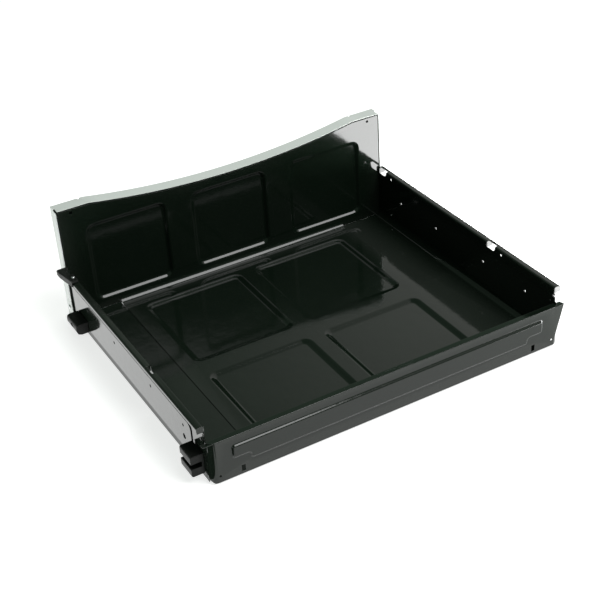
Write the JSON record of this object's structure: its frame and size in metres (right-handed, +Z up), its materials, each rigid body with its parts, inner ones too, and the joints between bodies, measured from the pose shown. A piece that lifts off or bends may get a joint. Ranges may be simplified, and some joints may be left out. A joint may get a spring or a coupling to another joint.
{
  "type": "pull-out storage drawer",
  "caption": "Shallow pressed-steel pull-out drawer with a tall curved-top front panel, flanged side walls, wrapped rear wall and plastic glides.",
  "frame": {"origin": "middle of the footprint, on the plane that the pressed floor panels stand on", "axes": "+Z up, front panel faces -Y, rear wall at +Y, left side wall at +X"},
  "size_m": [0.644, 0.533, 0.203],
  "materials": {
    "enamel": "gloss",
    "paint": "satin",
    "plastic": "matte",
    "zinc": "satin"
  },
  "bodies": {
    "root": {"floor_pan": "enamel", "rear_wall": "enamel", "front_panel": "enamel", "front_skin": "paint", "side_wall_left": "enamel", "side_plate_left": "enamel", "skid_left": "plastic", "skid_screw_left": "zinc", "skin_screw_left": "zinc", "wrap_rivet_upper_left": "enamel", "wrap_rivet_lower_left": "enamel", "side_wall_right": "enamel", "side_plate_right": "enamel", "skid_right": "plastic", "skid_screw_right": "zinc", "skin_screw_right": "zinc", "wrap_rivet_upper_right": "enamel", "wrap_rivet_lower_right": "enamel", "top_glide": "plastic", "rail_glide": "plastic", "rail_glide_screw": "zinc", "top_glide_rivet": "zinc"}
  },
  "joints": []
}
